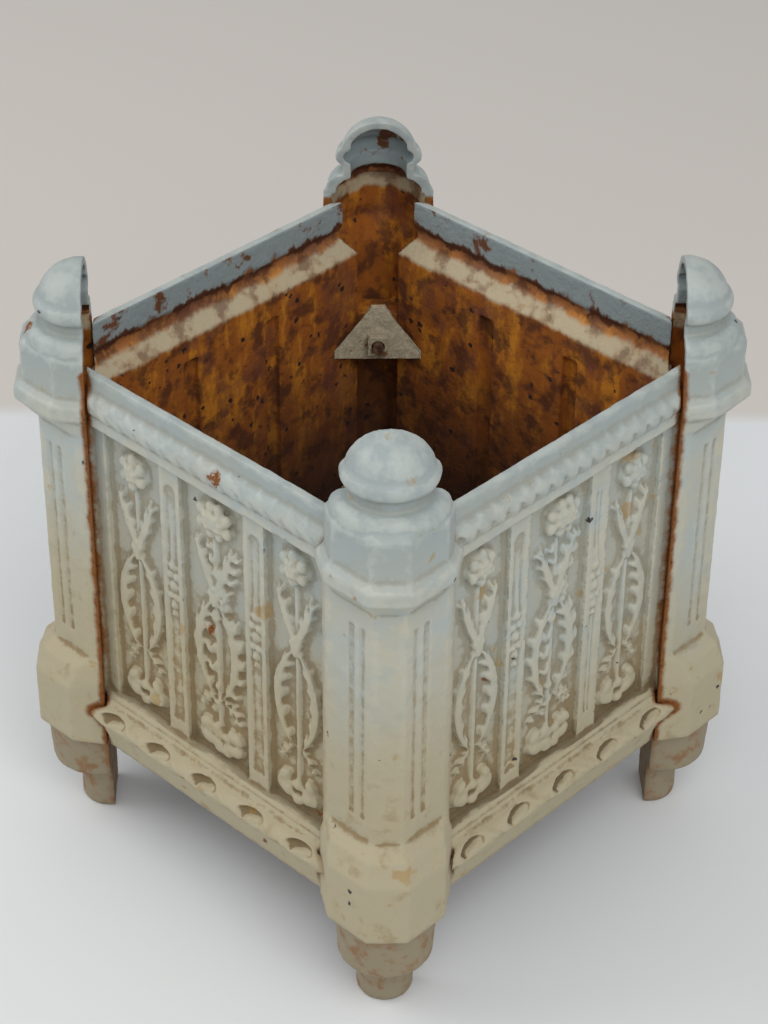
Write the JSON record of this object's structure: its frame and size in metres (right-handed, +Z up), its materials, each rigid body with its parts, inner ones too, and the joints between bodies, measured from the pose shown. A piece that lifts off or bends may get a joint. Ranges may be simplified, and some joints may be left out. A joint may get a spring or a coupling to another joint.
{
  "type": "cast iron planter",
  "caption": "Square cast iron planter with relief panels, open-backed corner posts with domed finials, and a loose drained floor plate.",
  "frame": {"origin": "centre of the square plan, on the ground under the feet", "axes": "+Z up, +X and +Y out through the middle of two panels, -Y the front panel"},
  "size_m": [0.2616, 0.2616, 0.321],
  "materials": {
    "painted_post": "aged grey-green paint over cast iron",
    "painted_panel": "aged grey-green paint over cast iron",
    "cleat_iron": "limed rusty iron",
    "stud_iron": "rusty iron",
    "floor_iron": "rusty cast iron"
  },
  "bodies": {
    "frame": {"post_back_right": "painted_post", "post_back_left": "painted_post", "post_front_left": "painted_post", "post_front_right": "painted_post", "panel_right": "painted_panel", "panel_back": "painted_panel", "panel_left": "painted_panel", "panel_front": "painted_panel", "cleat_upper_back_right": "cleat_iron", "stud_upper_back_right": "stud_iron", "nut_upper_back_right": "stud_iron", "cleat_lower_back_right": "cleat_iron", "stud_lower_back_right": "stud_iron", "nut_lower_back_right": "stud_iron", "cleat_upper_back_left": "cleat_iron", "stud_upper_back_left": "stud_iron", "nut_upper_back_left": "stud_iron", "cleat_lower_back_left": "cleat_iron", "stud_lower_back_left": "stud_iron", "nut_lower_back_left": "stud_iron", "cleat_upper_front_left": "cleat_iron", "stud_upper_front_left": "stud_iron", "nut_upper_front_left": "stud_iron", "cleat_lower_front_left": "cleat_iron", "stud_lower_front_left": "stud_iron", "nut_lower_front_left": "stud_iron", "cleat_upper_front_right": "cleat_iron", "stud_upper_front_right": "stud_iron", "nut_upper_front_right": "stud_iron", "cleat_lower_front_right": "cleat_iron", "stud_lower_front_right": "stud_iron", "nut_lower_front_right": "stud_iron"},
    "floor": {"floor_plate": "floor_iron"}
  },
  "joints": [
    {"name": "floor_lift", "type": "slide", "parent": "frame", "child": "floor", "axis": [0, 0, 1], "range_m": [0, 0.25]}
  ]
}
